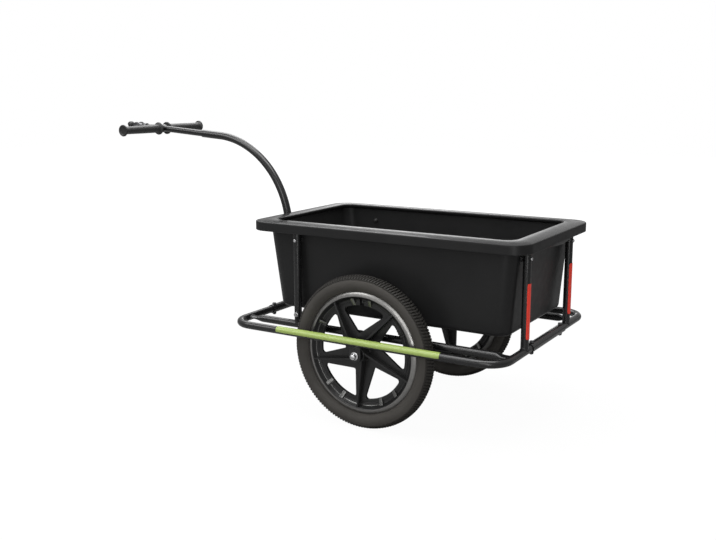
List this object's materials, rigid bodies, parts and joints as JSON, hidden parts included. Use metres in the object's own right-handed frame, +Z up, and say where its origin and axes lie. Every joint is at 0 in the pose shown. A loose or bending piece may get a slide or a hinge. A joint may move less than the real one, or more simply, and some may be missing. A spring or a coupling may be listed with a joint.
{
  "type": "bicycle trailer",
  "caption": "Two-wheeled cargo trailer for a bicycle: moulded open tub on a steel tube frame, five-spoke wheels, swept drawbar with T-handle and pin hitch.",
  "frame": {"origin": "middle of the bounding box, on the ground", "axes": "+X to the tail (the hitch points to -X), +Y to the right-hand wheel, +Z up; the wheel axle is at x = 0.308"},
  "size_m": [1.4636, 0.6126, 0.7487],
  "materials": {
    "frame_paint": "satin black powder coat",
    "zinc_steel": "bright zinc plate",
    "dark_steel": "black zinc plate",
    "bearing_steel": "ground steel",
    "tub_plastic": "fine-grained moulded polypropylene",
    "wheel_plastic": "moulded nylon",
    "grip_plastic": "soft moulded plastic",
    "tyre_rubber": "matt tread rubber",
    "tube_rubber": "smooth butyl",
    "lime_film": "reflective film",
    "red_film": "reflective film"
  },
  "bodies": {
    "chassis": {"left_outer_rail": "frame_paint", "right_outer_rail": "frame_paint", "left_inner_rail": "frame_paint", "right_inner_rail": "frame_paint", "front_cross_sleeve": "frame_paint", "rear_cross_sleeve": "frame_paint", "left_outer_dropout": "frame_paint", "left_inner_dropout": "frame_paint", "right_outer_dropout": "frame_paint", "right_inner_dropout": "frame_paint", "left_front_post": "frame_paint", "right_front_post": "frame_paint", "left_rear_post": "frame_paint", "right_rear_post": "frame_paint", "front_left_sleeve_bolt": "zinc_steel", "front_right_sleeve_bolt": "zinc_steel", "rear_left_sleeve_bolt": "zinc_steel", "rear_right_sleeve_bolt": "zinc_steel", "left_front_post_foot_bolt": "zinc_steel", "right_front_post_foot_bolt": "zinc_steel", "left_front_post_top_bolt": "zinc_steel", "right_front_post_top_bolt": "zinc_steel", "left_rear_post_top_bolt": "zinc_steel", "right_rear_post_top_bolt": "zinc_steel", "tub": "tub_plastic", "left_axle_bolt": "zinc_steel", "left_axle_nut": "zinc_steel", "left_outboard_spacer": "dark_steel", "left_inboard_spacer": "dark_steel", "right_axle_bolt": "zinc_steel", "right_axle_nut": "zinc_steel", "right_outboard_spacer": "dark_steel", "right_inboard_spacer": "dark_steel", "drawbar": "frame_paint", "drawbar_socket": "frame_paint", "drawbar_bolt": "zinc_steel", "handle_tee": "frame_paint", "left_grip": "grip_plastic", "right_grip": "grip_plastic", "swivel_nut": "dark_steel", "left_lime_strip": "lime_film", "right_lime_strip": "lime_film", "left_red_strip": "red_film", "right_red_strip": "red_film"},
    "left_wheel": {"left_wheel_casting": "wheel_plastic", "left_tyre": "tyre_rubber", "left_inner_tube": "tube_rubber", "left_outboard_bearing": "bearing_steel", "left_inboard_bearing": "bearing_steel"},
    "right_wheel": {"right_wheel_casting": "wheel_plastic", "right_tyre": "tyre_rubber", "right_inner_tube": "tube_rubber", "right_outboard_bearing": "bearing_steel", "right_inboard_bearing": "bearing_steel"},
    "hitch_swivel": {"swivel_shaft": "dark_steel", "pitch_pin": "zinc_steel"},
    "hitch_fork": {"hitch_fork": "dark_steel"},
    "hitch_pin": {"hitch_pin": "zinc_steel", "hitch_pin_knob": "grip_plastic"}
  },
  "joints": [
    {"name": "left_wheel_spin", "type": "hinge", "parent": "chassis", "child": "left_wheel", "pos_m": [0.30825, -0.2515, 0.1995], "axis": [0, 1, 0], "continuous": true},
    {"name": "right_wheel_spin", "type": "hinge", "parent": "chassis", "child": "right_wheel", "pos_m": [0.30825, 0.2515, 0.1995], "axis": [0, 1, 0], "continuous": true},
    {"name": "hitch_roll", "type": "hinge", "parent": "chassis", "child": "hitch_swivel", "pos_m": [-0.67875, 0, 0.7295], "axis": [1, 0, 0], "continuous": true},
    {"name": "hitch_pitch", "type": "hinge", "parent": "hitch_swivel", "child": "hitch_fork", "pos_m": [-0.67875, 0, 0.7295], "axis": [0, 1, 0], "range_deg": [-45, 45]},
    {"name": "hitch_pin_lift", "type": "slide", "parent": "hitch_fork", "child": "hitch_pin", "axis": [0, 0, 1], "range_m": [0, 0.02]}
  ]
}
